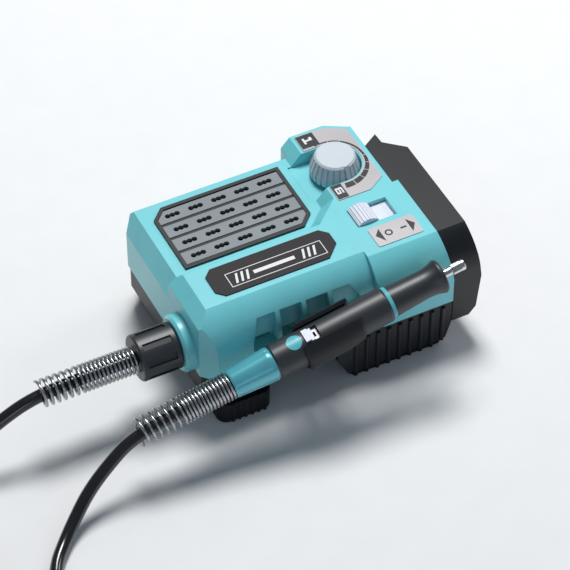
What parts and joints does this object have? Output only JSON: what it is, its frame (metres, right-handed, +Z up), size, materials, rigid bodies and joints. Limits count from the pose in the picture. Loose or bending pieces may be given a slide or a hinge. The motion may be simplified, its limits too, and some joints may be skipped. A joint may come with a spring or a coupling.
{
  "type": "die grinder",
  "caption": "Cordless bench die grinder: a motor base with speed knob and slide switch drives a pencil handpiece in its clip through a flexible shaft.",
  "frame": {"origin": "on the surface that the feet stand on, under the middle of the drive unit and its clipped handpiece", "axes": "+Z up, +X towards the battery end, -Y towards the clipped handpiece"},
  "size_m": [0.4315, 0.261, 0.0895],
  "materials": {
    "teal_shell": "satin",
    "teal_metal": "gloss",
    "teal_trim": "satin",
    "black_plastic": "matte",
    "foot_rubber": "matte",
    "steel": "satin",
    "contact_metal": "satin",
    "grille_black": "matte",
    "slat_grey": "satin",
    "badge_carbon": "satin",
    "label_silver": "brushed",
    "knob_white": "satin",
    "switch_white": "satin",
    "magnet": "matte",
    "bush_bronze": "satin",
    "board_green": "satin",
    "heat_sink_metal": "satin",
    "handle_black": "satin",
    "grip_rubber": "matte",
    "collet_chrome": "polished",
    "spring_chrome": "polished",
    "cable_black": "gloss"
  },
  "bodies": {
    "drive_unit": {"accent_ring": "teal_trim", "back_left_foot": "foot_rubber", "badge_plate": "badge_carbon", "base_spring": "spring_chrome", "battery_contacts": "contact_metal", "battery_end_pads": "foot_rubber", "battery_mount": "black_plastic", "battery_mount_screws": "steel", "battery_rails": "steel", "board_pillars": "black_plastic", "clip_cradle": "black_plastic", "clip_screws": "steel", "control_board": "board_green", "dial_label": "label_silver", "flexible_shaft_back": "cable_black", "flexible_shaft_coil": "cable_black", "flexible_shaft_out": "cable_black", "front_barrel": "handle_black", "front_left_foot": "foot_rubber", "handle_body": "handle_black", "handpiece_cone": "teal_metal", "handpiece_ferrule": "steel", "handpiece_spring": "spring_chrome", "heat_sink": "heat_sink_metal", "housing_screws": "steel", "lock_dot": "teal_trim", "lower_housing": "black_plastic", "motor_bearings": "steel", "motor_brackets": "steel", "motor_can": "steel", "motor_magnets": "magnet", "nose_sleeve": "handle_black", "output_bush": "bush_bronze", "potentiometer": "steel", "shaft_ferrule": "steel", "soft_grip": "grip_rubber", "spindle_bearings": "steel", "switch_body": "black_plastic", "switch_label": "label_silver", "terminal_block": "black_plastic", "upper_housing": "teal_shell", "vent_grille_frame": "grille_black", "vent_slat_1": "slat_grey", "vent_slat_2": "slat_grey", "vent_slat_3": "slat_grey", "vent_slat_4": "slat_grey"},
    "speed_control": {"speed_knob": "knob_white", "potentiometer_shaft": "steel"},
    "power_switch": {"switch_slider": "switch_white"},
    "rotor": {"motor_rotor": "steel", "cooling_fan": "black_plastic", "drive_coupling": "steel", "drive_core": "steel"},
    "coupling_nut": {"coupling_nut": "handle_black"},
    "spindle": {"spindle": "collet_chrome", "spindle_core": "steel", "collet": "collet_chrome"},
    "collet_nut": {"collet_nut": "collet_chrome"},
    "spindle_lock": {"lock_slider": "switch_white"}
  },
  "joints": [
    {"name": "speed_knob_turn", "type": "hinge", "parent": "drive_unit", "child": "speed_control", "pos_m": [0.0563, 0.0444, 0.082], "axis": [0, 0, 1], "range_deg": [-27, 183]},
    {"name": "power_switch_slide", "type": "slide", "parent": "drive_unit", "child": "power_switch", "axis": [1, 0, 0], "range_m": [0, 0.011]},
    {"name": "motor_spin", "type": "hinge", "parent": "drive_unit", "child": "rotor", "pos_m": [-0.007, -0.0165, 0.046], "axis": [1, 0, 0], "continuous": true},
    {"name": "coupling_nut_turn", "type": "hinge", "parent": "drive_unit", "child": "coupling_nut", "pos_m": [-0.097, -0.0165, 0.046], "axis": [1, 0, 0], "range_deg": [-720, 0]},
    {"name": "spindle_spin", "type": "hinge", "parent": "drive_unit", "child": "spindle", "pos_m": [0.01106, -0.0635, 0.06533], "axis": [0.982, 0, 0.1891], "continuous": true},
    {"name": "collet_nut_turn", "type": "hinge", "parent": "spindle", "child": "collet_nut", "pos_m": [0.08176, -0.0635, 0.07894], "axis": [0.982, 0, 0.1891], "range_deg": [0, 360]},
    {"name": "spindle_lock_slide", "type": "slide", "parent": "drive_unit", "child": "spindle_lock", "axis": [0.982, 0, 0.1891], "range_m": [0, 0.0034], "stiffness_N_per_m": 250, "springref_m": -0.001}
  ],
  "couplings": [
    {"joint": "spindle_spin", "follows": "motor_spin", "ratio": -1}
  ]
}
